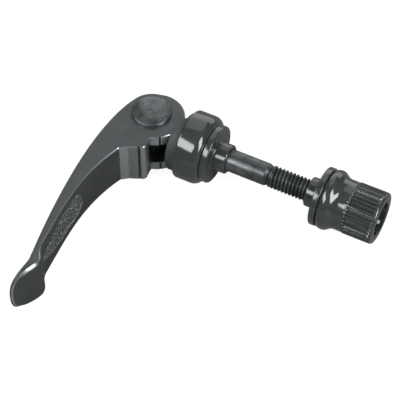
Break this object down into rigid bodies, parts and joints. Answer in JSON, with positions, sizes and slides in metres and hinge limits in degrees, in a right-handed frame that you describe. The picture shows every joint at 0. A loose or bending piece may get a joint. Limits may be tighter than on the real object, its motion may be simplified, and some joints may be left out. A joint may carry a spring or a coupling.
{
  "type": "seatpost quick release bolt",
  "caption": "Cam lever on a threaded rod with a cupped cam seat, stepped clamp washers and a ribbed thumb nut, for closing a seat tube clamp without tools.",
  "frame": {"origin": "on the rod's axis, in the clamp face of the lever-side washer", "axes": "+X along the rod towards the nut, +Z along the lever's pivot, the closed lever's arm towards -Y; the object lies on its side on its cup, nut and lever"},
  "size_m": [0.0737, 0.0719, 0.0186],
  "materials": {
    "lever_alloy": "forged, satin dark grey",
    "barrel_steel": "turned, satin dark grey",
    "rod_steel": "drawn, black oxide",
    "seat_plastic": "moulded, matt dark grey",
    "cup_gloss": "moulded, glossy black",
    "washer_black": "turned, glossy black coating",
    "nut_plastic": "moulded, glossy black",
    "insert_steel": "zinc plated"
  },
  "bodies": {
    "bolt": {"rod": "rod_steel", "pivot_barrel": "barrel_steel"},
    "lever": {"lever": "lever_alloy"},
    "housing": {"housing_cup": "cup_gloss", "cam_seat": "seat_plastic"},
    "lever_washer": {"lever_side_washer": "washer_black"},
    "nut_washer": {"nut_side_washer": "washer_black"},
    "nut": {"thumb_nut": "nut_plastic", "nut_insert": "insert_steel"}
  },
  "joints": [
    {"name": "lever_hinge", "type": "hinge", "parent": "bolt", "child": "lever", "pos_m": [-0.01906, 0, 0], "axis": [0, 0, 1], "range_deg": [-180, 0]},
    {"name": "housing_slide", "type": "slide", "parent": "bolt", "child": "housing", "axis": [1, 0, 0], "range_m": [0, 0.004]},
    {"name": "lever_washer_slide", "type": "slide", "parent": "housing", "child": "lever_washer", "axis": [1, 0, 0], "range_m": [0, 0.005]},
    {"name": "nut_travel", "type": "slide", "parent": "bolt", "child": "nut_washer", "axis": [1, 0, 0], "range_m": [-0.00645, 0.00305]},
    {"name": "nut_spin", "type": "hinge", "parent": "nut_washer", "child": "nut", "pos_m": [0.03816, 0, 0], "axis": [1, 0, 0], "range_deg": [-2304, 1080]}
  ],
  "couplings": [
    {"joint": "nut_travel", "follows": "nut_spin", "m_per_rad": 0.00015915}
  ]
}
